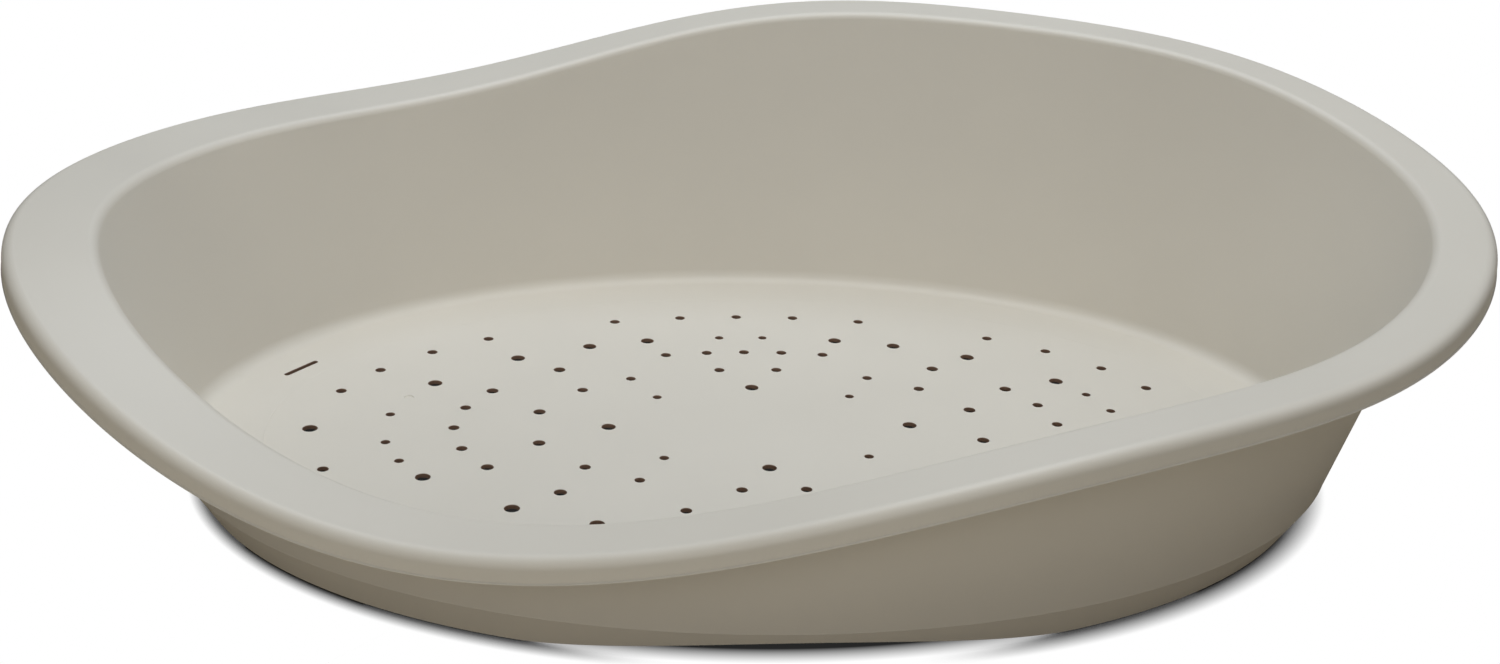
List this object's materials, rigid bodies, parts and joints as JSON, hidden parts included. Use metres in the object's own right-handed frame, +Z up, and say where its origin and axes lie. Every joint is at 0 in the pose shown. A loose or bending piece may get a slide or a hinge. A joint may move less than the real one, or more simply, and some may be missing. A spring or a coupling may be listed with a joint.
{
  "type": "pet bed",
  "caption": "Oval moulded plastic pet bed with an overturned wavy rim, low front, high back, perforated raised floor and rubber feet.",
  "frame": {"origin": "centre of the bed's footprint, on the ground under the rubber feet", "axes": "+Z up, +X along the length towards the right-hand end seen from the front, +Y towards the high back, -Y towards the low front"},
  "size_m": [0.7044, 0.5212, 0.1749],
  "materials": {
    "tub_plastic": "fine matt moulded texture, warm light grey",
    "foot_rubber": "soft matt black rubber"
  },
  "bodies": {
    "root": {"tub": "tub_plastic", "foot_front_left": "foot_rubber", "foot_front_right": "foot_rubber", "foot_back_left": "foot_rubber", "foot_back_right": "foot_rubber"}
  },
  "joints": []
}
